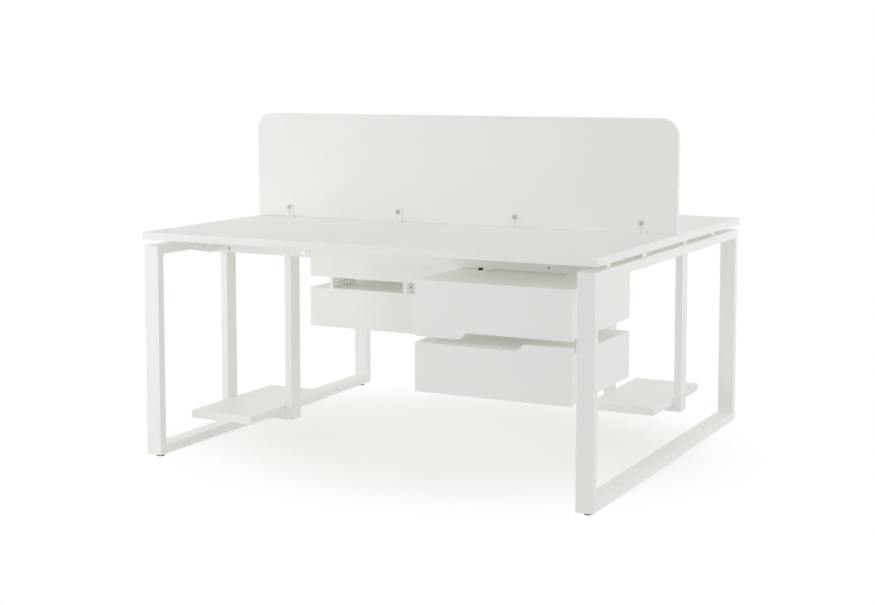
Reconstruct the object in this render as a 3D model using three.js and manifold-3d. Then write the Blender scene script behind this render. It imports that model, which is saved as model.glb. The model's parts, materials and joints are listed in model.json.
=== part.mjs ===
// Benching desk for two: worktops back to back on two closed tube loops, a screen on the seam
// between them and, for each place, a hung pair of drawers and a hung shelf for a computer.
// Millimetres, +Z up. The origin is on the floor under the middle of the seam, +X runs along the
// seam and the front place faces -Y. Half a turn about Z carries the front place to the rear one.
import * as THREE from 'three';
import { mergeVertices } from 'three/addons/utils/BufferGeometryUtils.js';
import Module from 'manifold-3d';

// Whole desk
const DESK_WIDTH = 1600;
const DESK_DEPTH = 1400;
const DESK_HEIGHT = 750;
const TOP_THICKNESS = 25;
const TOP_SEAM = 2;

// Gap between pieces that touch, and how far a cutting shape runs past what it cuts
const FIT = 0.3;
const OVERCUT = 2;

// Leg loops of rectangular tube: wide along X, thin the other way
const LOOP_INSET = 8;
const LOOP_TUBE_WIDTH = 55;
const LOOP_TUBE_DEPTH = 30;
const TUBE_WALL = 2;
const TOP_CLEARANCE = 17;
const STANDOFF_WIDTH = 24;
const STANDOFF_LENGTH = 36;
const STANDOFF_SPACING = 310;
const STANDOFF_SHIFT = -50;

// Levelling feet, screwed into the bottom rails beside the posts
const FOOT_HEIGHT = 10;
const FOOT_POST_GAP = 4;
const FOOT_PAD_DIAMETER = 28;
const FOOT_PAD_EDGE = 2;
const FOOT_STUD_DIAMETER = 10;
const FOOT_STUD_HEADROOM = 4;
const HOLE_CLEARANCE = 1;
const ROUND_SIDES = 24;

// Beams between the loops, one under each worktop
const BEAM_SETBACK = 338;
const BEAM_WIDTH = 55;
const BEAM_HEIGHT = 50;
const END_PLATE_LENGTH = 110;
const END_PLATE_THICKNESS = 5;

// Screen, the four shoes that it stands in and the screws that clamp it
const SCREEN_RISE = 375;
const SCREEN_THICKNESS = 18;
const SCREEN_CORNER_RADIUS = 60;
const SCREEN_CORNER_STEPS = 10;
const SHOE_END_INSET = 126.5;
const SHOE_SIDE_SHIFT = 6;
const SHOE_WIDTH = 33;
const SHOE_HEIGHT = 48;
const SHOE_WALL = 3;
const CLAMP_DROP = 12;
const CLAMP_HEAD_DIAMETER = 14;
const CLAMP_HEAD_THICKNESS = 5;
const CLAMP_HEAD_EDGE = 1.5;
const CLAMP_SHANK_DIAMETER = 6;

// Computer hanger: a U of flat tube under the beam, with a shelf across its foot
const HANGER_SIDE_GAP = 30;
const HANGER_CLEAR_WIDTH = 235;
const HANGER_TUBE_WIDTH = 25;
const HANGER_TUBE_DEPTH = 55;
const HANGER_FLOOR_GAP = 99;
const SHELF_THICKNESS = 25;
const SHELF_LENGTH = 480;

// Drawer unit: two cases, one above the other, hung from the beam
const UNIT_SIDE_GAP = 23;
const UNIT_SETBACK = 20;
const UNIT_WIDTH = 510;
const UNIT_DEPTH = 476;
const CASE_HEIGHT = 147;
const CASE_GAP = 41;
const CASE_WALL = 16;
const BRACKET_SIDE_INSET = 99;
const HANG_PLATE_WIDTH = 50;
const HANG_PLATE_LENGTH = 160;
const HANG_PLATE_THICKNESS = 5.4;

// Spacers of perforated sheet steel between the two cases
const SPACER_BACK_INSET = 1;
const SPACER_LENGTH = 165;
const SPACER_FLANGE = 13;
const SPACER_STEEL = 3;
const SPACER_HOLE_DIAMETER = 10;
const SPACER_HOLE_SIDES = 8;
const SPACER_HOLE_ROWS = 2;
const SPACER_HOLE_COLUMNS = 6;

// Drawer fronts, with a stepped edge that leaves a finger slot between them
const FRONT_THICKNESS = 18;
const FRONT_CASE_GAP = 2;
const FRONT_DROP = 6;
const FRONT_SHY = 2.5;
const FRONT_SEAM = 19;
const SLOT_STEP = 20.5;
const SLOT_HALF_WIDTH = 94;
const SLOT_STEP_RUN = 30;
const SLOT_CURVE_STEPS = 6;

// Drawer trays and the slides that carry them
const TRAY_WALL = 12;
const TRAY_BASE = 8;
const TRAY_FLOOR_GAP = 8;
const TRAY_HEAD_GAP = 19;
const TRAY_BACK_GAP = 30;
const SLIDE_SPACE = 12.7;
const SLIDE_HEIGHT = 45;
const SLIDE_BACK_GAP = 40;
const RAIL_FRONT_INSET = 3;
const RAIL_DEPTH = 8;
const RAIL_STEEL = 1.5;
const RAIL_LIP = 6;
const RUNNER_PLAY = 0.6;

// Finishes
const WHITE_BOARD = { color: 0xf0f0ee, roughness: 0.45, metalness: 0 };
const WHITE_STEEL = { color: 0xf1f1ef, roughness: 0.4, metalness: 0 };
const ZINC_STEEL = { color: 0xa9adb0, roughness: 0.35, metalness: 0.9 };
const BLACK_PLASTIC = { color: 0x141414, roughness: 0.55, metalness: 0 };
const NICKEL_SCREW = { color: 0xb5b1a9, roughness: 0.3, metalness: 0.9 };

// Places that several pieces share
const topBottom = DESK_HEIGHT - TOP_THICKNESS;
const loopTop = topBottom - TOP_CLEARANCE;
const loopOuter = DESK_WIDTH / 2 - LOOP_INSET;
const loopInner = loopOuter - LOOP_TUBE_WIDTH;
const loopMiddle = (loopOuter + loopInner) / 2;
const loopEnd = DESK_DEPTH / 2;
const footMiddle = loopEnd - LOOP_TUBE_DEPTH - FOOT_POST_GAP;
const beamMiddle = -DESK_DEPTH / 2 + BEAM_SETBACK;
const beamBottom = loopTop - BEAM_HEIGHT;
const shoeOuter = DESK_WIDTH / 2 - SHOE_END_INSET;
const shoeInner = shoeOuter / 3;
const shoePlaces = {
  left_outer: SHOE_SIDE_SHIFT - shoeOuter,
  left_inner: SHOE_SIDE_SHIFT - shoeInner,
  right_inner: SHOE_SIDE_SHIFT + shoeInner,
  right_outer: SHOE_SIDE_SHIFT + shoeOuter,
};
const screenBottom = DESK_HEIGHT + SHOE_WALL + 2 * FIT;
const clampHeight = DESK_HEIGHT + SHOE_HEIGHT - CLAMP_DROP;
const shoeHalfDepth = SCREEN_THICKNESS / 2 + FIT + SHOE_WALL;

const unit = { right: loopInner - UNIT_SIDE_GAP, front: -DESK_DEPTH / 2 + UNIT_SETBACK };
unit.left = unit.right - UNIT_WIDTH;
unit.middle = (unit.left + unit.right) / 2;
unit.back = unit.front + UNIT_DEPTH;
unit.caseFront = unit.front + FRONT_THICKNESS + FRONT_CASE_GAP;
unit.innerBack = unit.back - CASE_WALL;
const bracketOffset = UNIT_WIDTH / 2 - BRACKET_SIDE_INSET;

const upper = { top: beamBottom - HANG_PLATE_THICKNESS - 2 * FIT };
upper.bottom = upper.top - CASE_HEIGHT;
const lower = { top: upper.bottom - CASE_GAP };
lower.bottom = lower.top - CASE_HEIGHT;
const seamLow = lower.top - FRONT_SHY;

const wasm = await Module();
wasm.setup();

// A closed geometry as a solid that can be joined to others and cut.
function solid(geometry) {
  const bare = geometry.clone();
  bare.deleteAttribute('normal');
  bare.deleteAttribute('uv');
  const merged = mergeVertices(bare);
  const vertProperties = merged.attributes.position.array;
  const triVerts = Uint32Array.from(merged.index.array);
  return new wasm.Manifold(new wasm.Mesh({ numProp: 3, vertProperties, triVerts }));
}

// The geometry of a joined and cut solid.
function surface(body) {
  const { vertProperties, triVerts } = body.getMesh();
  const geometry = new THREE.BufferGeometry();
  geometry.setAttribute('position', new THREE.BufferAttribute(vertProperties, 3));
  geometry.setIndex(new THREE.BufferAttribute(triVerts, 1));
  geometry.computeVertexNormals();
  return geometry;
}

function cut(base, ...tools) {
  return surface(tools.reduce((body, tool) => body.subtract(solid(tool)), solid(base)));
}

function join(...pieces) {
  return surface(pieces.map(solid).reduce((body, piece) => body.add(piece)));
}

// A block between two opposite corners.
function block([x0, y0, z0], [x1, y1, z1]) {
  const geometry = new THREE.BoxGeometry(x1 - x0, y1 - y0, z1 - z0);
  return geometry.translate((x0 + x1) / 2, (y0 + y1) / 2, (z0 + z1) / 2);
}

// An outline drawn in X and Z, carried along Y from one place to another.
function prismY(outline, from, to, curveSegments = 1) {
  const settings = { depth: to - from, bevelEnabled: false, curveSegments };
  return new THREE.ExtrudeGeometry(outline, settings).rotateX(Math.PI / 2).translate(0, to, 0);
}

// An outline drawn in Y and Z, carried along X from one place to another.
function prismX(outline, from, to) {
  const settings = { depth: to - from, bevelEnabled: false };
  const geometry = new THREE.ExtrudeGeometry(outline, settings);
  return geometry.rotateX(Math.PI / 2).rotateZ(Math.PI / 2).translate(from, 0, 0);
}

function polygon(points) {
  return new THREE.Shape(points.map(([a, b]) => new THREE.Vector2(a, b)));
}

// A rectangular frame outline: a window inside a rectangle.
function ring(a0, b0, a1, b1, windowInset) {
  const outline = polygon([[a0, b0], [a1, b0], [a1, b1], [a0, b1]]);
  const [c0, d0] = [a0 + windowInset, b0 + windowInset];
  const [c1, d1] = [a1 - windowInset, b1 - windowInset];
  outline.holes.push(polygon([[c0, d0], [c0, d1], [c1, d1], [c1, d0]]));
  return outline;
}

function roundBar(diameter, length, sides = ROUND_SIDES) {
  return new THREE.CylinderGeometry(diameter / 2, diameter / 2, length, sides);
}

function piece(name, geometry, finish) {
  const mesh = new THREE.Mesh(geometry, new THREE.MeshStandardMaterial({ ...finish, flatShading: true }));
  mesh.name = name;
  return mesh;
}

// One closed loop of welded tube, hollow all round, with the stand-offs that carry the worktops.
// The holes for the feet open its inside.
function legLoop(name) {
  const frame = ring(-loopEnd, FOOT_HEIGHT, loopEnd, loopTop, LOOP_TUBE_DEPTH);
  const bore = ring(
    -loopEnd + TUBE_WALL, FOOT_HEIGHT + TUBE_WALL, loopEnd - TUBE_WALL, loopTop - TUBE_WALL,
    LOOP_TUBE_DEPTH - 2 * TUBE_WALL,
  );
  let body = solid(prismX(frame, loopInner, loopOuter));
  body = body.subtract(solid(prismX(bore, loopInner + TUBE_WALL, loopOuter - TUBE_WALL)));
  for (const y of [-footMiddle, footMiddle]) {
    const hole = roundBar(FOOT_STUD_DIAMETER + 2 * HOLE_CLEARANCE, 2 * (TUBE_WALL + OVERCUT));
    body = body.subtract(solid(hole.rotateX(Math.PI / 2).translate(loopMiddle, y, FOOT_HEIGHT)));
  }
  // Two under each worktop, shifted from its middle toward one end. The loop on the other side is
  // the same one, turned round, so there the shift runs the other way.
  const pairMiddles = [-DESK_DEPTH / 4 + STANDOFF_SHIFT, DESK_DEPTH / 4 + STANDOFF_SHIFT];
  const reach = STANDOFF_SPACING / 2;
  for (const y of pairMiddles.flatMap((middle) => [middle - reach, middle + reach])) {
    const standoff = block(
      [loopMiddle - STANDOFF_WIDTH / 2, y - STANDOFF_LENGTH / 2, loopTop - TUBE_WALL / 2],
      [loopMiddle + STANDOFF_WIDTH / 2, y + STANDOFF_LENGTH / 2, topBottom - FIT],
    );
    body = body.add(solid(standoff));
  }
  return piece(name, surface(body), WHITE_STEEL);
}

// A glide pad with the stud that screws up into the loop.
function levellingFoot(name, y) {
  const pad = FOOT_PAD_DIAMETER / 2;
  const stud = FOOT_STUD_DIAMETER / 2;
  const padTop = FOOT_HEIGHT - FIT;
  const studTop = FOOT_HEIGHT + LOOP_TUBE_DEPTH - TUBE_WALL - FOOT_STUD_HEADROOM;
  const profile = [
    [0, 0], [pad - FOOT_PAD_EDGE, 0], [pad, FOOT_PAD_EDGE], [pad, padTop - FOOT_PAD_EDGE],
    [pad - FOOT_PAD_EDGE, padTop], [stud, padTop], [stud, studTop], [0, studTop],
  ];
  const foot = new THREE.LatheGeometry(profile.map(([r, h]) => new THREE.Vector2(r, h)), ROUND_SIDES);
  const mesh = piece(name, foot.rotateX(Math.PI / 2), BLACK_PLASTIC);
  mesh.position.set(loopMiddle, y, 0);
  return mesh;
}

// A square tube with an end plate welded on at each loop. Its bore runs through the plates.
function beam(name) {
  const end = loopInner - FIT;
  const front = beamMiddle - BEAM_WIDTH / 2;
  const back = beamMiddle + BEAM_WIDTH / 2;
  const plateFront = beamMiddle - END_PLATE_LENGTH / 2;
  const plateBack = beamMiddle + END_PLATE_LENGTH / 2;
  const tube = block([-end, front, beamBottom], [end, back, loopTop]);
  const leftPlate = block([-end, plateFront, beamBottom], [-end + END_PLATE_THICKNESS, plateBack, loopTop]);
  const rightPlate = block([end - END_PLATE_THICKNESS, plateFront, beamBottom], [end, plateBack, loopTop]);
  const bore = block(
    [-end - OVERCUT, front + TUBE_WALL, beamBottom + TUBE_WALL],
    [end + OVERCUT, back - TUBE_WALL, loopTop - TUBE_WALL],
  );
  return piece(name, cut(join(tube, leftPlate, rightPlate), bore), WHITE_STEEL);
}

function worktop(name) {
  const low = [-DESK_WIDTH / 2, -DESK_DEPTH / 2, topBottom];
  const high = [DESK_WIDTH / 2, -TOP_SEAM / 2, DESK_HEIGHT];
  return piece(name, block(low, high), WHITE_BOARD);
}

// The board of the screen, rounded at its two upper corners and drilled for the clamp screws.
function screen(name) {
  const half = DESK_WIDTH / 2;
  const top = DESK_HEIGHT + SCREEN_RISE;
  const radius = SCREEN_CORNER_RADIUS;
  const outline = polygon([[-half, screenBottom], [half, screenBottom]]);
  outline.absarc(half - radius, top - radius, radius, 0, Math.PI / 2);
  outline.absarc(-half + radius, top - radius, radius, Math.PI / 2, Math.PI);
  const board = prismY(outline, -SCREEN_THICKNESS / 2, SCREEN_THICKNESS / 2, SCREEN_CORNER_STEPS);
  const holes = Object.values(shoePlaces).map((x) => clampHole(x, SCREEN_THICKNESS));
  return piece(name, cut(board, ...holes), WHITE_BOARD);
}

function clampHole(x, thickness) {
  const bar = roundBar(CLAMP_SHANK_DIAMETER + 2 * HOLE_CLEARANCE, thickness + 2 * OVERCUT);
  return bar.translate(x, 0, clampHeight);
}

// A U-shaped shoe that stands across the seam and holds the screen's lower edge.
function screenShoe(name, x) {
  const bottom = DESK_HEIGHT + FIT;
  const top = DESK_HEIGHT + SHOE_HEIGHT;
  const inner = shoeHalfDepth - SHOE_WALL;
  const section = polygon([
    [-shoeHalfDepth, bottom], [shoeHalfDepth, bottom], [shoeHalfDepth, top], [inner, top],
    [inner, bottom + SHOE_WALL], [-inner, bottom + SHOE_WALL], [-inner, top], [-shoeHalfDepth, top],
  ]);
  const channel = prismX(section, x - SHOE_WIDTH / 2, x + SHOE_WIDTH / 2);
  return piece(name, cut(channel, clampHole(x, 2 * shoeHalfDepth)), WHITE_STEEL);
}

// A through screw with a low round head on each side of the shoe.
function clampScrew(name, x) {
  const head = CLAMP_HEAD_DIAMETER / 2;
  const shank = CLAMP_SHANK_DIAMETER / 2;
  const seat = shoeHalfDepth + FIT;
  const end = seat + CLAMP_HEAD_THICKNESS;
  const half = [
    [shank, seat], [head, seat], [head, end - CLAMP_HEAD_EDGE],
    [head - CLAMP_HEAD_EDGE, end], [0, end],
  ];
  const otherHalf = half.map(([r, y]) => [r, -y]).reverse();
  const profile = [...otherHalf, ...half].map(([r, y]) => new THREE.Vector2(r, y));
  const mesh = piece(name, new THREE.LatheGeometry(profile, ROUND_SIDES), NICKEL_SCREW);
  mesh.position.set(x, 0, clampHeight);
  return mesh;
}

// A U of flat tube hung from the beam, hollow and open at its two upper ends.
function computerHanger(name) {
  const left = -loopInner + HANGER_SIDE_GAP;
  const right = left + HANGER_CLEAR_WIDTH + 2 * HANGER_TUBE_WIDTH;
  const top = beamBottom - FIT;
  const front = beamMiddle - HANGER_TUBE_DEPTH / 2;
  const back = beamMiddle + HANGER_TUBE_DEPTH / 2;
  const tubeU = (inset, upperEnd) => {
    const [a, b] = [left + inset, right - inset];
    const wall = HANGER_TUBE_WIDTH - 2 * inset;
    const bottom = HANGER_FLOOR_GAP + inset;
    return polygon([
      [a, bottom], [b, bottom], [b, upperEnd], [b - wall, upperEnd],
      [b - wall, bottom + wall], [a + wall, bottom + wall], [a + wall, upperEnd], [a, upperEnd],
    ]);
  };
  const tube = prismY(tubeU(0, top), front, back);
  const bore = prismY(tubeU(TUBE_WALL, top + OVERCUT), front + TUBE_WALL, back - TUBE_WALL);
  return piece(name, cut(tube, bore), WHITE_STEEL);
}

function computerShelf(name) {
  const left = -loopInner + HANGER_SIDE_GAP + HANGER_TUBE_WIDTH + FIT;
  const right = left + HANGER_CLEAR_WIDTH - 2 * FIT;
  const bottom = HANGER_FLOOR_GAP + HANGER_TUBE_WIDTH + FIT;
  const low = [left, beamMiddle - SHELF_LENGTH / 2, bottom];
  const high = [right, beamMiddle + SHELF_LENGTH / 2, bottom + SHELF_THICKNESS];
  return piece(name, block(low, high), WHITE_BOARD);
}

// A glued case of board, open at the front.
function drawerCase(name, level) {
  const shell = block([unit.left, unit.caseFront, level.bottom], [unit.right, unit.back, level.top]);
  const hollow = block(
    [unit.left + CASE_WALL, unit.caseFront - OVERCUT, level.bottom + CASE_WALL],
    [unit.right - CASE_WALL, unit.innerBack, level.top - CASE_WALL],
  );
  return piece(name, cut(shell, hollow), WHITE_BOARD);
}

// The plate between the beam and the top of the upper case.
function hangPlate(name, side) {
  const x = unit.middle + side * bracketOffset;
  const bottom = upper.top + FIT;
  const top = bottom + HANG_PLATE_THICKNESS;
  const low = [x - HANG_PLATE_WIDTH / 2, beamMiddle - HANG_PLATE_LENGTH / 2, bottom];
  const high = [x + HANG_PLATE_WIDTH / 2, beamMiddle + HANG_PLATE_LENGTH / 2, top];
  return piece(name, block(low, high), WHITE_STEEL);
}

// A channel of perforated steel that ties the lower case to the upper one. Its flanges turn to the
// sitter's right, and its back end is closed.
function caseSpacer(name, side) {
  const web = unit.middle + side * bracketOffset;
  const edge = web + SPACER_FLANGE;
  const bottom = lower.top + FIT;
  const top = upper.bottom - FIT;
  const back = unit.back - SPACER_BACK_INSET;
  const front = back - SPACER_LENGTH;
  const steel = SPACER_STEEL;
  const channel = polygon([
    [web, bottom], [edge, bottom], [edge, bottom + steel], [web + steel, bottom + steel],
    [web + steel, top - steel], [edge, top - steel], [edge, top], [web, top],
  ]);
  const end = block([web, back - steel, bottom], [edge, back, top]);
  const holes = [];
  for (let row = 1; row <= SPACER_HOLE_ROWS; row += 1) {
    for (let column = 1; column <= SPACER_HOLE_COLUMNS; column += 1) {
      const bar = roundBar(SPACER_HOLE_DIAMETER, 2 * (steel + OVERCUT), SPACER_HOLE_SIDES);
      const y = front + (SPACER_LENGTH * column) / (SPACER_HOLE_COLUMNS + 1);
      const z = bottom + ((top - bottom) * row) / (SPACER_HOLE_ROWS + 1);
      holes.push(bar.rotateZ(Math.PI / 2).translate(web, y, z));
    }
  }
  return piece(name, cut(join(prismY(channel, front, back), end), ...holes), WHITE_STEEL);
}

// The two fronts meet in a stepped seam: each edge rises by one step, the lower front's past the
// middle and the upper front's before it, so that a finger slot opens between the two steps.
function drawerFront(name, level) {
  const half = SLOT_STEP_RUN / 2;
  const seamHigh = seamLow + SLOT_STEP;
  const outline = new THREE.Shape();
  if (level === lower) {
    const step = unit.middle + SLOT_HALF_WIDTH;
    outline.moveTo(unit.left, lower.bottom - FRONT_DROP);
    outline.lineTo(unit.right, lower.bottom - FRONT_DROP);
    outline.lineTo(unit.right, seamHigh);
    outline.lineTo(step + half, seamHigh);
    outline.bezierCurveTo(step, seamHigh, step, seamLow, step - half, seamLow);
    outline.lineTo(unit.left, seamLow);
  } else {
    const step = unit.middle - SLOT_HALF_WIDTH;
    outline.moveTo(unit.left, seamLow + FRONT_SEAM);
    outline.lineTo(step - half, seamLow + FRONT_SEAM);
    outline.bezierCurveTo(
      step, seamLow + FRONT_SEAM, step, seamHigh + FRONT_SEAM, step + half, seamHigh + FRONT_SEAM,
    );
    outline.lineTo(unit.right, seamHigh + FRONT_SEAM);
    outline.lineTo(unit.right, upper.top);
    outline.lineTo(unit.left, upper.top);
  }
  const board = prismY(outline, unit.front, unit.front + FRONT_THICKNESS, SLOT_CURVE_STEPS);
  return piece(name, board, WHITE_BOARD);
}

// Where the tray of one drawer stands inside its case.
function trayPlace(level) {
  const side = CASE_WALL + SLIDE_SPACE;
  return {
    left: unit.left + side,
    right: unit.right - side,
    front: unit.front + FRONT_THICKNESS + FIT,
    back: unit.innerBack - TRAY_BACK_GAP,
    bottom: level.bottom + CASE_WALL + TRAY_FLOOR_GAP,
    top: level.top - CASE_WALL - TRAY_HEAD_GAP,
  };
}

// An open tray that moves with the front.
function drawerTray(name, level) {
  const tray = trayPlace(level);
  const shell = block([tray.left, tray.front, tray.bottom], [tray.right, tray.back, tray.top]);
  const hollow = block(
    [tray.left + TRAY_WALL, tray.front + TRAY_WALL, tray.bottom + TRAY_BASE],
    [tray.right - TRAY_WALL, tray.back - TRAY_WALL, tray.top + OVERCUT],
  );
  return piece(name, cut(shell, hollow), WHITE_BOARD);
}

// The rail and the runner of a slide are drawn as distances in from the case wall and up from the
// slide's middle.
function slidePiece(name, level, side, section) {
  const tray = trayPlace(level);
  const wall = side < 0 ? unit.left + CASE_WALL + FIT : unit.right - CASE_WALL - FIT;
  const middle = (tray.bottom + tray.top) / 2;
  const outline = polygon(section.map(([inward, up]) => [wall - side * inward, middle + up]));
  const front = unit.caseFront + RAIL_FRONT_INSET;
  return piece(name, prismY(outline, front, unit.innerBack - SLIDE_BACK_GAP), ZINC_STEEL);
}

// The lipped channel that is screwed to the case wall.
function slideRail(name, level, side) {
  const half = SLIDE_HEIGHT / 2;
  const [depth, steel, lip] = [RAIL_DEPTH, RAIL_STEEL, half - RAIL_LIP];
  return slidePiece(name, level, side, [
    [0, -half], [depth, -half], [depth, -lip], [depth - steel, -lip], [depth - steel, steel - half],
    [steel, steel - half], [steel, half - steel], [depth - steel, half - steel], [depth - steel, lip],
    [depth, lip], [depth, half], [0, half],
  ]);
}

// The runner that the lips of the rail hold. Its neck reaches the side of the tray.
function slideRunner(name, level, side) {
  const half = SLIDE_HEIGHT / 2;
  const near = RAIL_STEEL + RUNNER_PLAY;
  const shoulder = RAIL_DEPTH - RAIL_STEEL - RUNNER_PLAY;
  const far = SLIDE_SPACE - 2 * FIT;
  const head = half - RAIL_STEEL - RUNNER_PLAY;
  const neck = half - RAIL_LIP - RUNNER_PLAY;
  return slidePiece(name, level, side, [
    [near, -head], [shoulder, -head], [shoulder, -neck], [far, -neck],
    [far, neck], [shoulder, neck], [shoulder, head], [near, head],
  ]);
}

function drawer(place, levelName, level) {
  const group = new THREE.Group();
  const label = `${place}_${levelName}`;
  group.add(drawerCase(`${label}_case`, level));
  group.add(drawerFront(`${label}_front`, level));
  group.add(drawerTray(`${label}_tray`, level));
  for (const [sideName, side] of [['left', -1], ['right', 1]]) {
    group.add(slideRail(`${label}_rail_${sideName}`, level, side));
    group.add(slideRunner(`${label}_runner_${sideName}`, level, side));
  }
  return group;
}

function drawerUnit(place) {
  const group = new THREE.Group();
  for (const [sideName, side] of [['left', -1], ['right', 1]]) {
    group.add(hangPlate(`${place}_hang_plate_${sideName}`, side));
    group.add(caseSpacer(`${place}_case_spacer_${sideName}`, side));
  }
  group.add(drawer(place, 'upper', upper));
  group.add(drawer(place, 'lower', lower));
  return group;
}

// The screen with the shoes and screws that hold it.
function screenSet() {
  const group = new THREE.Group();
  group.add(screen('screen'));
  for (const [spot, x] of Object.entries(shoePlaces)) {
    group.add(screenShoe(`${spot}_screen_shoe`, x));
    group.add(clampScrew(`${spot}_clamp_screw`, x));
  }
  return group;
}

// Half of the desk: one place, and the loop and feet on its right.
function halfDesk(place, otherPlace, end) {
  const group = new THREE.Group();
  group.add(worktop(`${place}_top`));
  group.add(beam(`${place}_beam`));
  group.add(computerHanger(`${place}_computer_hanger`));
  group.add(computerShelf(`${place}_computer_shelf`));
  group.add(drawerUnit(place));
  group.add(legLoop(`${end}_leg_loop`));
  group.add(levellingFoot(`${end}_${place}_foot`, -footMiddle));
  group.add(levellingFoot(`${end}_${otherPlace}_foot`, footMiddle));
  return group;
}

const desk = new THREE.Group();
desk.name = 'benching_desk';
desk.add(halfDesk('front', 'rear', 'right'));
const rearHalf = halfDesk('rear', 'front', 'left');
rearHalf.rotation.z = Math.PI;
desk.add(rearHalf);
desk.add(screenSet());

export default desk;
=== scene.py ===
# %% [markdown]
# # A bench desk for two
# A white office desk where two people sit face to face: two tops on two steel loops, a low screen
# between them, and for each place a pair of hung drawers and a hung shelf for a computer.
# The CAD frame already gives every board and tube its true size and place, so nothing is measured
# again here. The lesson adds what the solids lack: softened edges, fasteners, finishes and light.

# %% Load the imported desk
import json
import math

import bpy
import numpy as np
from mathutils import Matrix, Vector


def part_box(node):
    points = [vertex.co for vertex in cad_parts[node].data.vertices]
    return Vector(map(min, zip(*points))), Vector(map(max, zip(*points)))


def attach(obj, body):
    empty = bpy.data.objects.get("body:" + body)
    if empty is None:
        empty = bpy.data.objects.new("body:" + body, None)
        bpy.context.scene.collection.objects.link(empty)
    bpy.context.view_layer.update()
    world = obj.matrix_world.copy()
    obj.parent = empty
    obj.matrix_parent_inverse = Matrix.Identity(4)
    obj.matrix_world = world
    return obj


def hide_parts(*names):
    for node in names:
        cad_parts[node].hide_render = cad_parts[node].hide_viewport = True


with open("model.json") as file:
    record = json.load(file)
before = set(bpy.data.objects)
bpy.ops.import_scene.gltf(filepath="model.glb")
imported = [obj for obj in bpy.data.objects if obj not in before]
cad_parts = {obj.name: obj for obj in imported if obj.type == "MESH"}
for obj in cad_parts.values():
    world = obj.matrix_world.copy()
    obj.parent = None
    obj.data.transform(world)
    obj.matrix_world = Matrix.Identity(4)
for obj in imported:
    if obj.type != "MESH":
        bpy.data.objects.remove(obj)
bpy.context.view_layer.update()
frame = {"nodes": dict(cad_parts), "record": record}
MM = 0.001

# %% [markdown]
# ## How finishes are written
# A paint maker gives a colour as a hex number, but light is added up in linear values, so one
# function turns the one into the other. A second one adds a node to a shader: its settings are
# given by name, and each input is either a value or the socket of an earlier node.

# %% Helpers for finishes
def linear(hex_colour):
    """sRGB hex to linear RGBA: the dark end is divided by 12.92, the rest follows a power of
    2.4."""
    srgb = np.array([int(hex_colour[i:i + 2], 16) for i in (1, 3, 5)]) / 255
    flat = np.where(srgb <= 0.04045, srgb / 12.92, ((srgb + 0.055) / 1.055) ** 2.4)
    return (*flat.tolist(), 1.0)


def add(tree, kind, inputs=None, **settings):
    """Adds one shader node, gives it its settings, and fills or links its inputs."""
    node = tree.nodes.new("ShaderNode" + kind)
    for name, value in settings.items():
        setattr(node, name, value)
    for socket, value in (inputs or {}).items():
        if isinstance(value, bpy.types.NodeSocket):
            tree.links.new(value, node.inputs[socket])
        else:
            node.inputs[socket].default_value = value
    return node


def start_finish(name):
    """A new material with an empty tree, and the socket of the Object coordinates in metres."""
    finish = bpy.data.materials.new(name)
    finish.use_nodes = True
    finish.node_tree.nodes.clear()
    return finish, finish.node_tree, add(finish.node_tree, "TexCoord").outputs["Object"]


print("mid grey #808080 is", round(linear("#808080")[0], 4), "in linear light")

# %% [markdown]
# ## White melamine-faced board
# The tops, the screen, the cases and the trays are particle board faced with paper that is soaked
# in melamine resin and pressed hot against a textured plate. The eye sees an even warm white, a
# satin shine that breaks up a little, and a very fine pebble. The pebble is about 1.5 mm across,
# less than a pixel here, so it is drawn 6 mm across. A slow drift of the white over 300 mm
# keeps the large faces from looking like plain paint.

# %% Finish of the boards
PEBBLE = 6 * MM
PAPER_DRIFT = 300 * MM
WARM_WHITE = (linear("#F5F5F3"), linear("#F9F9F7"))

melamine, tree, place = start_finish("white_melamine_pressed")
drift = add(tree, "TexNoise", {"Vector": place, "Scale": 1 / PAPER_DRIFT, "Detail": 3.0})
pebble = add(tree, "TexNoise", {"Vector": place, "Scale": 1 / PEBBLE, "Detail": 2.0})
white = add(tree, "Mix", {0: drift.outputs[0], 6: WARM_WHITE[0], 7: WARM_WHITE[1]},
            data_type="RGBA")
satin = add(tree, "MapRange", {"Value": pebble.outputs[0], "To Min": 0.36, "To Max": 0.52})
press = add(tree, "Bump", {"Strength": 0.35, "Distance": 0.05 * MM, "Height": pebble.outputs[0]})
board = add(tree, "BsdfPrincipled", {"Base Color": white.outputs[2], "Roughness": satin.outputs[0],
                                     "Normal": press.outputs[0], "IOR": 1.5})
add(tree, "OutputMaterial", {"Surface": board.outputs[0]})
print("finish:", melamine.name)

# %% [markdown]
# ## White powder-coated steel
# Loops, beams, hangers and plates are steel sprayed with dry powder that melts in an oven. The skin
# flows into a soft orange peel, about 2 mm from dimple to dimple, drawn 5 mm here so that it shows.
# Two layers of noise, a fine one in height and a slow one in colour, give that skin. In the photo
# its white can't be told from that of the boards, so both use the same one.

# %% Finish of the painted steel
ORANGE_PEEL = 5 * MM
COAT_DRIFT = 180 * MM

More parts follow.
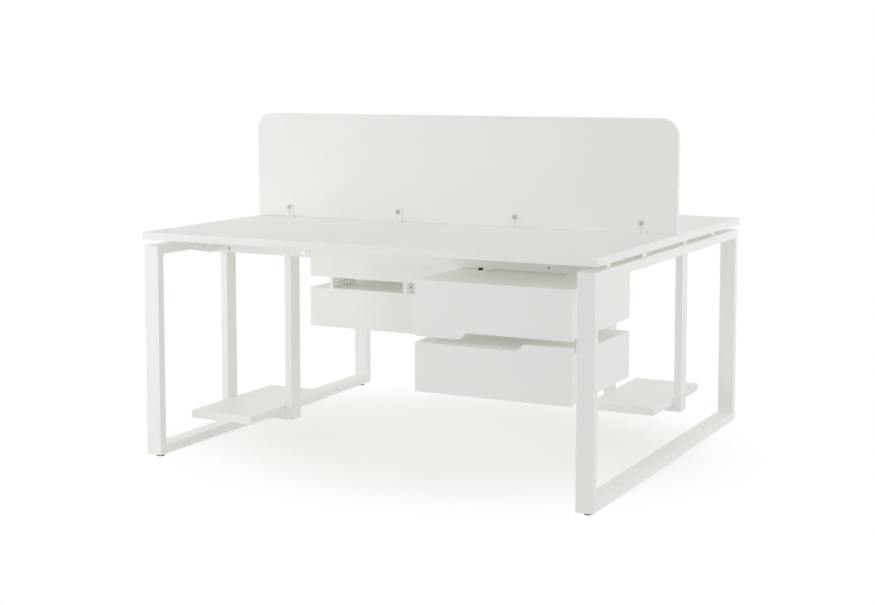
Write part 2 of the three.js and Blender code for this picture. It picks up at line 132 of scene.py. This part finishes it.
powder_coat, tree, place = start_finish("white_powder_coat_baked")
drift = add(tree, "TexNoise", {"Vector": place, "Scale": 1 / COAT_DRIFT, "Detail": 2.0})
peel = add(tree, "TexNoise", {"Vector": place, "Scale": 1 / ORANGE_PEEL, "Detail": 1.0})
white = add(tree, "Mix", {0: drift.outputs[0], 6: WARM_WHITE[0], 7: WARM_WHITE[1]},
            data_type="RGBA")
satin = add(tree, "MapRange", {"Value": peel.outputs[0], "To Min": 0.34, "To Max": 0.48})
skin = add(tree, "Bump", {"Strength": 0.4, "Distance": 0.06 * MM, "Height": peel.outputs[0]})
paint = add(tree, "BsdfPrincipled", {"Base Color": white.outputs[2], "Roughness": satin.outputs[0],
                                     "Normal": skin.outputs[0], "IOR": 1.5})
add(tree, "OutputMaterial", {"Surface": paint.outputs[0]})
print("finish:", powder_coat.name)

# %% [markdown]
# ## Zinc-plated steel of the drawer slides
# Slides are rolled from steel strip and plated with zinc. They show faint rolling lines along the
# drawer's travel and a patchy blue-grey shine. Stretched noise gives the lines, about 1 mm apart
# and 60 mm long, and cells of 12 mm give the patches.

# %% Finish of the slides
ROLL_LINE_WIDTH = 1 * MM
ROLL_LINE_LENGTH = 60 * MM
ROLL_LINE = (1 / ROLL_LINE_WIDTH, 1 / ROLL_LINE_LENGTH, 1 / ROLL_LINE_WIDTH)
ZINC_PATCH = 12 * MM

zinc, tree, place = start_finish("zinc_plated_rolled_steel")
along = add(tree, "Mapping", {"Vector": place, "Scale": ROLL_LINE})
lines = add(tree, "TexNoise", {"Vector": along.outputs[0], "Scale": 1.0, "Detail": 3.0})
patch = add(tree, "TexVoronoi", {"Vector": place, "Scale": 1 / ZINC_PATCH})
grey = add(tree, "Mix", {0: patch.outputs["Color"], 6: linear("#B4B9BC"), 7: linear("#CDD0D1")},
           data_type="RGBA")
shine = add(tree, "MapRange", {"Value": lines.outputs[0], "To Min": 0.24, "To Max": 0.46})
drawn = add(tree, "Bump", {"Strength": 0.3, "Distance": 0.04 * MM, "Height": lines.outputs[0]})
strip = add(tree, "BsdfPrincipled", {"Base Color": grey.outputs[2], "Roughness": shine.outputs[0],
                                     "Normal": drawn.outputs[0], "Metallic": 1.0})
add(tree, "OutputMaterial", {"Surface": strip.outputs[0]})
print("finish:", zinc.name)

# %% [markdown]
# ## Nickel, chrome, black oxide and black nylon
# The screws that a sitter sees are nickel plated: a grey mirror, clouded a little by hands, in
# patches of 3 mm. A spot on the beam that is whiter than the paint is taken for a chrome cap, which
# mirrors the bright room; polishing leaves a faint haze on it. Dark dots under the tops are taken
# for bolts blackened in hot salts: darker in spots of 4 mm, with an oily shine. The glides are
# moulded nylon: near black and dull, with the grit of the mould, which is about 0.2 mm and drawn
# 1.2 mm here so that it shows.

# %% Finishes of the small parts
HAND_CLOUD = 3 * MM
OXIDE_SPOT = 4 * MM
MOULD_GRIT = 1.2 * MM
POLISH_HAZE = 3 * MM

nickel, tree, place = start_finish("nickel_plated_steel")
cloud = add(tree, "TexNoise", {"Vector": place, "Scale": 1 / HAND_CLOUD, "Detail": 2.0})
grey = add(tree, "Mix", {0: cloud.outputs[0], 6: linear("#A0A099"), 7: linear("#B9B9B1")},
           data_type="RGBA")
touched = add(tree, "MapRange", {"Value": cloud.outputs[0], "To Min": 0.2, "To Max": 0.42})
plate = add(tree, "BsdfPrincipled", {"Base Color": grey.outputs[2], "Roughness": touched.outputs[0],
                                     "Metallic": 1.0})
add(tree, "OutputMaterial", {"Surface": plate.outputs[0]})

nylon, tree, place = start_finish("black_nylon_moulded")
grit = add(tree, "TexNoise", {"Vector": place, "Scale": 1 / MOULD_GRIT, "Detail": 2.0})
black = add(tree, "Mix", {0: grit.outputs[0], 6: linear("#141414"), 7: linear("#222221")},
            data_type="RGBA")
dull = add(tree, "MapRange", {"Value": grit.outputs[0], "To Min": 0.45, "To Max": 0.65})
mould = add(tree, "Bump", {"Strength": 0.4, "Distance": 0.05 * MM, "Height": grit.outputs[0]})
resin = add(tree, "BsdfPrincipled", {"Base Color": black.outputs[2], "Roughness": dull.outputs[0],
                                     "Normal": mould.outputs[0], "IOR": 1.53})
add(tree, "OutputMaterial", {"Surface": resin.outputs[0]})

black_oxide, tree, place = start_finish("black_oxide_steel")
spots = add(tree, "TexNoise", {"Vector": place, "Scale": 1 / OXIDE_SPOT, "Detail": 3.0})
black = add(tree, "Mix", {0: spots.outputs[0], 6: linear("#1C1C1B"), 7: linear("#333230")},
            data_type="RGBA")
oily = add(tree, "MapRange", {"Value": spots.outputs[0], "To Min": 0.3, "To Max": 0.5})
steel = add(tree, "BsdfPrincipled", {"Base Color": black.outputs[2], "Roughness": oily.outputs[0],
                                     "Metallic": 0.85})
add(tree, "OutputMaterial", {"Surface": steel.outputs[0]})

chrome, tree, place = start_finish("chrome_plated_cap")
haze = add(tree, "TexNoise", {"Vector": place, "Scale": 1 / POLISH_HAZE, "Detail": 2.0})
bright = add(tree, "Mix", {0: haze.outputs[0], 6: linear("#F4F5F5"), 7: linear("#FBFBFB")},
             data_type="RGBA")
polish = add(tree, "MapRange", {"Value": haze.outputs[0], "To Min": 0.1, "To Max": 0.24})
mirror = add(tree, "BsdfPrincipled", {"Base Color": bright.outputs[2], "Metallic": 1.0,
                                      "Roughness": polish.outputs[0]})
add(tree, "OutputMaterial", {"Surface": mirror.outputs[0]})
print("finishes:", nickel.name, black_oxide.name, nylon.name, chrome.name)

# %% [markdown]
# ## Dress the boards and tubes
# No real edge is a knife edge: boards carry a band with a small radius and tube has rounded
# corners. The solids are loose triangles with sharp edges, so a Weld joins them and a Bevel rounds
# every edge that turns by more than 40 degrees. Changing the mesh would do it too, but modifiers
# leave the CAD shape as it is. Thin sheet gets a small radius and boards a larger one. The words
# after the first in a node's name tell what it is. Feet and screws get a new shape further on.

# %% Finishes and softened edges of the CAD nodes
SLOT_FINISH = {"white_board": melamine, "white_steel": powder_coat, "zinc_steel": zinc,
               "black_plastic": nylon, "nickel_screw": nickel}
EDGE_TURN = math.radians(40)
EDGE_STEPS = 3
WELD_REACH = 0.01 * MM
EDGE_RADIUS = {"shoe": 0.6, "spacer": 0.3, "plate": 0.6, "rail": 0.25, "runner": 0.25, "top": 1.2,
               "screen": 1.2, "loop": 0.9, "beam": 0.9, "hanger": 0.9, "shelf": 1.2, "case": 0.8,
               "tray": 0.8, "front": 1.2}

for subpart in frame["record"]["subparts"]:
    name = subpart["node"]
    node = frame["nodes"][name]
    node.data.materials.clear()
    node.data.materials.append(SLOT_FINISH[subpart["material_slot"]])
    words = name.split("_")[1:] or [name]
    radius = next((EDGE_RADIUS[word] for word in EDGE_RADIUS if word in words), None)
    if radius:
        weld = node.modifiers.new("weld", "WELD")
        weld.merge_threshold = WELD_REACH
        edge = node.modifiers.new("soft_edge", "BEVEL")
        edge.limit_method = "ANGLE"
        edge.angle_limit = EDGE_TURN
        edge.width = radius * MM
        edge.segments = EDGE_STEPS

# %% [markdown]
# ## Turned parts
# Feet, screws, bolts and caps are all turned on a lathe or formed to look so. Their surface is a
# function of two parameters: a step along the profile and an angle round the axis. Three things
# can change the radius: the profile itself, a hexagon for spanner faces, and a wave for knurling.

# %% Helpers for turned parts
PLAIN_SIDES = 48
RIBBED_SIDES = 144
RIBS = 36


def turned(profile, sides=PLAIN_SIDES, teeth=RIBS):
    """Rows of (radius, height, hexagon, tooth) in mm carried round the axis. The radius at angle t
    is the profile's, times 1 over the cosine of t inside its sixth of a turn where hexagon is 1,
    plus the tooth height times the cosine of teeth times t."""
    radius, height, hexagon, tooth = np.array(profile, float).T[:, :, None]
    angle = np.linspace(0, 2 * np.pi, sides, endpoint=False)[None, :]
    spanner = 1 / np.cos(angle % (np.pi / 3) - np.pi / 6)
    reach = radius * (1 - hexagon + hexagon * spanner) + tooth * np.cos(teeth * angle)
    return np.stack([reach * np.cos(angle), reach * np.sin(angle),
                     np.broadcast_to(height, reach.shape)], axis=2)


OFF_AXIS = (0.31, 0.95, 0.05)


def set_on(shape, seat, axis):
    """Turns a shape so that its Z axis points along the given axis, and moves its foot to the seat.
    Its X axis is square to that axis and to a direction off all three axes."""
    third = np.array(axis, float)
    first = np.cross(OFF_AXIS, third)
    first /= np.linalg.norm(first)
    return shape @ np.array([first, np.cross(third, first), third]) + np.array(seat, float)


print("a hexagon's corners stand", round(turned([(1, 0, 1, 0)])[0, 0, 0], 4), "times its flats out")

# %% Helpers for pieces
SMOOTH_TURN = math.radians(35)
HALF_TURN = np.array([-1, -1, 1])


def piece_of(name, shapes, finish, body):
    """One mesh from shapes in mm: neighbouring rows and columns become quads, the last column joins
    the first, and the two end rows are closed with a flat cap."""
    corners, faces, first = [], [], 0
    for shape in shapes:
        rows, columns, _ = shape.shape
        index = first + np.arange(rows * columns).reshape(rows, columns)
        beside = np.roll(index, -1, axis=1)
        quads = np.stack([index[:-1], beside[:-1], beside[1:], index[1:]], axis=2)
        faces += quads.reshape(-1, 4).tolist()
        faces += [index[0, ::-1].tolist(), index[-1].tolist()]
        corners.append(shape.reshape(-1, 3))
        first += rows * columns
    mesh = bpy.data.meshes.new(name)
    mesh.from_pydata((np.concatenate(corners) * MM).tolist(), [], faces)
    mesh.polygons.foreach_set("use_smooth", np.ones(len(faces), bool))
    mesh.set_sharp_from_angle(angle=SMOOTH_TURN)
    mesh.materials.append(finish)
    piece = bpy.data.objects.new(name, mesh)
    bpy.context.scene.collection.objects.link(piece)
    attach(piece, body)
    print(name, "rides on", body, "with", len(faces), "faces")
    return piece


def both_places(seats):
    """The seats of one sitter's place and, by half a turn about Z, of the other one's."""
    one = np.array(seats, float)
    return np.concatenate([one, one * HALF_TURN])


print("half a turn carries (1, 2, 3) to", both_places([(1, 2, 3)])[1].tolist())

# %% [markdown]
# ## Levelling feet
# Under each loop corner a black glide carries the desk: a ribbed nylon pad that fingers can turn,
# a moulded hexagon for a spanner and a stud that screws into the tube. The solid is a plain turned
# pad, so a fuller one takes its place, with 36 ribs on its rim.

# %% Levelling feet
FOOT_PROFILE = [(10.0, 0.0, 0, 0), (12.6, 0.0, 0, 0), (13.4, 0.5, 0, 0.0), (13.75, 1.3, 0, 0.25),
                (13.75, 4.4, 0, 0.25), (13.2, 5.4, 0, 0.0), (12.0, 6.0, 0, 0), (10.2, 6.2, 0, 0),
                (8.5, 6.3, 1, 0), (8.5, 9.2, 1, 0), (8.1, 9.7, 1, 0), (5.0, 9.7, 0, 0),
                (5.0, 33.2, 0, 0), (4.4, 34.0, 0, 0)]

for side in ("left", "right"):
    for end in ("front", "rear"):
        low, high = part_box(f"{side}_{end}_foot")
        seat = np.array([low.x + high.x, low.y + high.y, 0]) / 2 / MM
        pad = set_on(turned(FOOT_PROFILE, RIBBED_SIDES), seat, (0, 0, 1))
        foot = piece_of(f"{side}_{end}_glide_pad", [pad], nylon, f"{side}_{end}_glide")
        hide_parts(f"{side}_{end}_foot")

# %% [markdown]
# ## Clamp screws of the screen
# Each shoe on the seam is pinched on the screen by a bright screw with a knurled head on both sides
# and a hexagon socket in each. The row of profile points runs from the floor of one socket, over
# both heads, into the other socket, so one turned surface gives the whole screw.

# %% Clamp screws
HEAD_HALF = [(2.5, 14.6, 1, 0), (2.5, 17.2, 1, 0), (3.6, 17.6, 0, 0), (5.4, 17.6, 0, 0),
             (6.3, 17.2, 0, 0), (6.8, 16.5, 0, 0.2), (6.8, 13.7, 0, 0.2), (6.2, 12.6, 0, 0),
             (2.9, 12.6, 0, 0)]
SCREW_PROFILE = [(r, -h, six, tooth) for r, h, six, tooth in HEAD_HALF] + HEAD_HALF[::-1]

for side in ("left", "right"):
    for spot in ("inner", "outer"):
        low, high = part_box(f"{side}_{spot}_clamp_screw")
        seat = np.array(low + high) / 2 / MM
        heads = set_on(turned(SCREW_PROFILE, RIBBED_SIDES), seat, (0, 1, 0))
        screw = piece_of(f"{side}_{spot}_knurled_screw", [heads], nickel, "frame")
        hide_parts(f"{side}_{spot}_clamp_screw")

# %% [markdown]
# ## Split lines of the shoes, painted as shade
# A thin dark line runs down each shoe below its screw. It is taken for a split that lets the shoe
# close on the screen, and the line is the shade inside that split. A cut in the solid would do the
# same, but a black strip of 0.7 mm laid on both faces paints that shade without a cut. It is a flat
# oval profile carried straight up.

# %% Split lines painted as shade
# Size of the black strip that paints the shade inside a shoe's split.
SHADE_STRIP_WIDTH = 0.7
SHADE_STRIP_THICKNESS = 0.3
SHADE_STRIP_SIDES = 12
SPLIT_FROM, SPLIT_TO = 0.6, 29


def shade_strip(at_x, face, up):
    """A strip of painted shade: an oval of the strip's width and thickness, half of each times the
    cosine and the sine of the angle, carried along Z between the heights in up, its middle on a
    face that lies across Y."""
    angle = np.linspace(0, 2 * np.pi, SHADE_STRIP_SIDES, endpoint=False)[None, :]
    across = at_x + SHADE_STRIP_WIDTH / 2 * np.cos(angle)
    proud = face + SHADE_STRIP_THICKNESS / 2 * np.sin(angle)
    return np.stack(np.broadcast_arrays(across, proud, np.array(up)[:, None]), axis=2)


shade_strips = []
for side in ("left", "right"):
    for spot in ("inner", "outer"):
        low, high = (np.array(corner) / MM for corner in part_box(f"{side}_{spot}_screen_shoe"))
        up = (low[2] + SPLIT_FROM, low[2] + SPLIT_TO)
        shade_strips += [shade_strip((low[0] + high[0]) / 2, face, up) for face in (low[1], high[1])]
# The black strips paint the shade inside each shoe's split; no slit is cut.
piece_of("shoe_split_painted_shade", shade_strips, nylon, "frame")

# %% [markdown]
# ## Gussets at the beam ends and cover plates on the spacers
# Where a beam meets a loop, a tapered form shows on the tube's inner face. It is taken for a steel
# gusset: as deep as the beam in its middle and tapered to the tube's lower edge at both ends, so
# that the bolts have a longer lever. Between the two cases of a drawer unit the photo shows a
# smooth plate with a bolt beside the perforated spacer, so a cover plate is laid on part of the
# spacer. Both are sheet steel: an outline carried through the thickness of the sheet.

# %% Gussets and cover plates
GUSSET_OUTLINE = [(-50, 658.2), (50, 658.2), (155, 677), (155, 700), (-155, 700), (-155, 677)]
GUSSET_SHEET = (731.2, 736.9)
GUSSET_EDGE = 0.8
COVER_OUTLINE = [(-290, 465), (-205.5, 465), (-205.5, 504), (-290, 504)]
COVER_SHEET = (301.8, 303.1)
COVER_EDGE = 0.3
SHEET_EDGE_STEPS = 2


def sheet_steel(outline, faces):
    """An outline of corners in Y and Z, in mm, carried along X from one face of the sheet to the
    other."""
    along, height = np.array(outline, float).T
    return np.stack(np.broadcast_arrays(np.sort(faces)[:, None], along, height), axis=2)


low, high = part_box("front_beam")
beam_middle = (low.y + high.y) / 2 / MM
gusset_corners = np.array(GUSSET_OUTLINE) + [beam_middle, 0]
gussets = [sheet_steel(gusset_corners, side * np.array(GUSSET_SHEET)) for side in (-1, 1)]
covers = [sheet_steel(COVER_OUTLINE, np.array(COVER_SHEET))]
for name, sheets, radius in (("beam_end_gussets", gussets, GUSSET_EDGE),
                             ("spacer_cover_plates", covers, COVER_EDGE)):
    turned_round = [shape * HALF_TURN for shape in sheets]
    steel_piece = piece_of(name, sheets + turned_round, powder_coat, "frame")
    round_over = steel_piece.modifiers.new("soft_edge", "BEVEL")
    round_over.width = radius * MM
    round_over.segments = SHEET_EDGE_STEPS

# %% [markdown]
# ## Bolts
# Button-head bolts hold the gussets to the loops and are painted with them, so they hardly show.
# Each cover plate has a smaller one, nickel plated. The small dark dots under the tops are made as
# a hexagon bolt on each hang plate, in front of the beam on one plate and behind it on the other.
# Small fasteners need only a few rows: a washer, the head, its socket or spanner faces.

# %% Bolts
BUTTON_HEAD = [(8.4, 0, 0, 0), (8.4, 1.2, 0, 0), (8.0, 1.5, 0, 0), (7.0, 1.5, 0, 0),
               (7.0, 2.2, 0, 0), (6.6, 3.6, 0, 0), (5.6, 4.8, 0, 0), (4.3, 5.5, 0, 0),
               (3.5, 5.7, 0, 0), (2.5, 5.7, 1, 0), (2.5, 3.4, 1, 0)]
HEX_HEAD = [(8.6, 0, 0, 0), (8.6, 1.4, 0, 0), (8.3, 1.6, 0, 0), (6.5, 1.6, 1, 0), (6.5, 5.9, 1, 0),
            (6.3, 6.8, 0, 0), (5.4, 7.1, 0, 0)]
COVER_BOLT = 0.65
GUSSET_BOLT_UP, GUSSET_BOLT_OUT = 681, 85
COVER_BOLT_ALONG, COVER_BOLT_UP = -239.5, 483.5
HANG_BOLT_FRONT, HANG_BOLT_BACK = (303, -66), (615, 66)

gusset_seats = both_places([(x, beam_middle + y, GUSSET_BOLT_UP)
                            for x in (-GUSSET_SHEET[0], GUSSET_SHEET[0])
                            for y in (-GUSSET_BOLT_OUT, GUSSET_BOLT_OUT)])
piece_of("gusset_bolts", [set_on(turned(BUTTON_HEAD), seat, (-np.sign(seat[0]), 0, 0))
                          for seat in gusset_seats], powder_coat, "frame")

small_head = turned(BUTTON_HEAD) * COVER_BOLT
cover_seats = both_places([(COVER_SHEET[0], COVER_BOLT_ALONG, COVER_BOLT_UP)])
piece_of("cover_plate_bolts", [set_on(small_head, seat, (-np.sign(seat[0]), 0, 0))
                               for seat in cover_seats], nickel, "frame")

plate_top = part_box("front_hang_plate_left")[1].z / MM
plate_seats = both_places([(x, beam_middle + y, plate_top)
                           for x, y in (HANG_BOLT_FRONT, HANG_BOLT_BACK)])
piece_of("hang_plate_bolts", [set_on(turned(HEX_HEAD), seat, (0, 0, 1)) for seat in plate_seats],
         black_oxide, "frame")

# %% [markdown]
# ## Screws and caps in the beams
# Spots of 2 to 4 pixels show on the beam's face toward the sitter. They are taken for two pan-head
# screws and one chrome cap: flat domes with a hexagon socket or without one.

# %% Beam screws and caps
PAN_HEAD = [(4.2, 0, 0, 0), (4.2, 1.0, 0, 0), (3.8, 2.0, 0, 0), (3.0, 2.6, 0, 0), (2.3, 2.7, 0, 0),
            (1.5, 2.7, 1, 0), (1.5, 1.2, 1, 0)]
CAP_DOME = [(5.8, 0, 0, 0), (5.8, 0.7, 0, 0), (5.3, 1.3, 0, 0), (4.0, 1.9, 0, 0), (2.0, 2.2, 0, 0),
            (0.7, 2.25, 0, 0)]
BEAM_TUBE = 55
BEAM_HOLE_UP = 672
SCREW_HOLES = (-670.6, 517)
CAP_HOLE = -370

beam_face = beam_middle - BEAM_TUBE / 2
screw_seats = both_places([(x, beam_face, BEAM_HOLE_UP) for x in SCREW_HOLES])
piece_of("beam_screws", [set_on(turned(PAN_HEAD), seat, (0, np.sign(seat[1]), 0))
                         for seat in screw_seats], nickel, "frame")
cap_seats = both_places([(CAP_HOLE, beam_face, BEAM_HOLE_UP)])
piece_of("beam_caps", [set_on(turned(CAP_DOME), seat, (0, np.sign(seat[1]), 0))
                       for seat in cap_seats], chrome, "frame")

# %% [markdown]
# ## Floor
# The desk stands on a white paper sheet. Lit paper alone would end in grey, and a glowing sheet
# would take no shadow. So the sheet glows a little under the desk, where the shadow lies, and turns
# to plain white some way outside the desk's outline. That holds for what the camera and mirror-like
# surfaces see. All other light meets ordinary pale paper.

# %% Floor
def seen_directly(tree):
    """1 for rays from the camera and for what gloss or glass shows, 0 for all other light."""
    ray = add(tree, "LightPath")
    gloss = add(tree, "Math", {0: ray.outputs["Is Camera Ray"], 1: ray.outputs["Is Glossy Ray"]},
                operation="MAXIMUM")
    return add(tree, "Math", {0: gloss.outputs[0], 1: ray.outputs["Is Transmission Ray"]},
               operation="MAXIMUM").outputs[0]


FULL_WHITE = linear("#FFFFFF")
SHADOW_WIDE, SHADOW_DEEP = 0.9, 0.8
SHADOW_FROM, SHADOW_TO = 0.55, 1.25
SHADOW_GLOW = 0.17
SHEET_REACH = 40
SHEET_DROP = 0.5 * MM

floor_finish, tree, place = start_finish("white_paper_sheet")
outward = add(tree, "Mapping", {"Vector": place, "Scale": (1 / SHADOW_WIDE, 1 / SHADOW_DEEP, 0)})
distance = add(tree, "VectorMath", {0: outward.outputs[0]}, operation="LENGTH")
clear = add(tree, "MapRange", {"Value": distance.outputs["Value"], "From Min": SHADOW_FROM,
                               "From Max": SHADOW_TO}, interpolation_type="SMOOTHSTEP")
paper = add(tree, "BsdfDiffuse", {"Color": linear("#F4F4F3")})
faint = add(tree, "Emission", {"Color": FULL_WHITE, "Strength": SHADOW_GLOW})
shaded = add(tree, "AddShader", {0: paper.outputs[0], 1: faint.outputs[0]})
plain = add(tree, "Emission", {"Color": FULL_WHITE, "Strength": 1.0})
sheet = add(tree, "MixShader", {0: clear.outputs[0], 1: shaded.outputs[0], 2: plain.outputs[0]})
either = add(tree, "MixShader", {0: seen_directly(tree), 1: paper.outputs[0], 2: sheet.outputs[0]})
add(tree, "OutputMaterial", {"Surface": either.outputs[0]})

floor_mesh = bpy.data.meshes.new("paper_sheet")
floor_mesh.from_pydata([(x * SHEET_REACH, y * SHEET_REACH, -SHEET_DROP)
                        for x, y in ((-1, -1), (1, -1), (1, 1), (-1, 1))], [], [(0, 1, 2, 3)])
floor_mesh.materials.append(floor_finish)
floor = bpy.data.objects.new("paper_sheet", floor_mesh)
bpy.context.scene.collection.objects.link(floor)
print("floor:", floor.name)

# %% [markdown]
# ## Light
# A white room lights the desk from all round, more from its walls than from its ceiling, which
# keeps the tops from burning out. Soft boxes at the front left, on the right, behind and above give
# the faces their slow fades. In a white room light also bounces many times into the gaps between
# boards, more often than a render follows it, so fill lamps that cast no shadow make up for it. The
# lamps were set so that each white face comes out near its own colour and none clips.

# %% World
ROOM_WALL = 0.77
ROOM_CEILING = 0.39

world = bpy.data.worlds.new("white_room")
world.use_nodes = True
bpy.context.scene.world = world
tree = world.node_tree
tree.nodes.clear()
rise = add(tree, "SeparateXYZ", {0: add(tree, "TexCoord").outputs["Generated"]})
height = add(tree, "Math", {0: rise.outputs["Z"]}, operation="ABSOLUTE")
glow = add(tree, "MapRange", {"Value": height.outputs[0], "To Min": ROOM_WALL,
                              "To Max": ROOM_CEILING})
room = add(tree, "Background", {"Color": FULL_WHITE, "Strength": glow.outputs[0]})
backdrop = add(tree, "Background", {"Color": FULL_WHITE, "Strength": 1.0})
both = add(tree, "MixShader", {0: seen_directly(tree), 1: room.outputs[0], 2: backdrop.outputs[0]})
add(tree, "OutputWorld", {"Surface": both.outputs[0]})
print("world:", world.name)


# %% Lamps
LAMP_AIM = np.array([0, 0, 0.5])


def soft_box(name, at, width, height, power, shadow=True, colour="#FFFFFF"):
    """An area lamp, sizes in metres and power in watts, that faces the middle of the desk. One that
    casts no shadow is sampled in one way only, because boards would still block the other way."""
    lamp = bpy.data.lights.new(name, "AREA")
    lamp.shape = "RECTANGLE"
    lamp.size, lamp.size_y = width, height
    lamp.energy = power
    lamp.color = linear(colour)[:3]
    lamp.use_shadow = shadow
    lamp.cycles.use_multiple_importance_sampling = shadow
    stand = bpy.data.objects.new(name, lamp)
    stand.location = at
    aim = LAMP_AIM - np.array(at)
    stand.rotation_euler = (math.atan2(math.hypot(aim[0], aim[1]), -aim[2]), 0,
                            math.atan2(aim[1], aim[0]) - math.pi / 2)
    stand.visible_camera = False
    bpy.context.scene.collection.objects.link(stand)
    print(name, power, "W")


soft_box("front_soft_box", (-2.4, -2.2, 0.75), 2.0, 1.2, 14)
soft_box("right_soft_box", (3.5, -0.3, 0.75), 3.0, 1.2, 12)
soft_box("back_soft_box", (2.0, 3.3, 1.4), 2.8, 2.0, 9)
soft_box("ceiling_soft_box", (0.0, 0.0, 4.5), 3.5, 3.5, 7)
soft_box("ceiling_fill", (0.0, 0.0, 5.0), 4.0, 4.0, 33, shadow=False, colour="#FFFEF2")
soft_box("left_fill", (-4.0, 0.0, 0.9), 3.0, 2.0, 13, shadow=False)
soft_box("front_fill", (-1.5, -4.0, 0.9), 3.0, 2.0, 9, shadow=False)
soft_box("back_fill", (1.5, 4.0, 0.9), 3.0, 2.0, 7, shadow=False)

# %% [markdown]
# ## Camera
# The picture was taken from the right of the front sitter at about head height, with a lens that
# was shifted down so that upright posts stay nearly upright. Place, turn and lens were worked out
# from the edges of the tops, loops and drawers.

# %% Camera
FILM_WIDTH = 36
LENS_LENGTH = 64.5315
LENS_SHIFT = -0.10
STANDPOINT = (2.40627, -4.81164, 1.27338)
LOOK_DOWN = 0.09095
LOOK_LEFT = 0.47508

camera = bpy.data.cameras.new("portrait")
camera.sensor_width = FILM_WIDTH
camera.lens = LENS_LENGTH
camera.shift_y = LENS_SHIFT
portrait = bpy.data.objects.new("portrait", camera)
portrait.location = STANDPOINT
portrait.rotation_euler = (math.pi / 2 - LOOK_DOWN, 0, LOOK_LEFT)
bpy.context.scene.collection.objects.link(portrait)
bpy.context.scene.camera = portrait
bpy.context.scene.view_settings.view_transform = "Standard"
print("camera:", round(STANDPOINT[2], 2), "m above the floor, lens of", LENS_LENGTH, "mm")
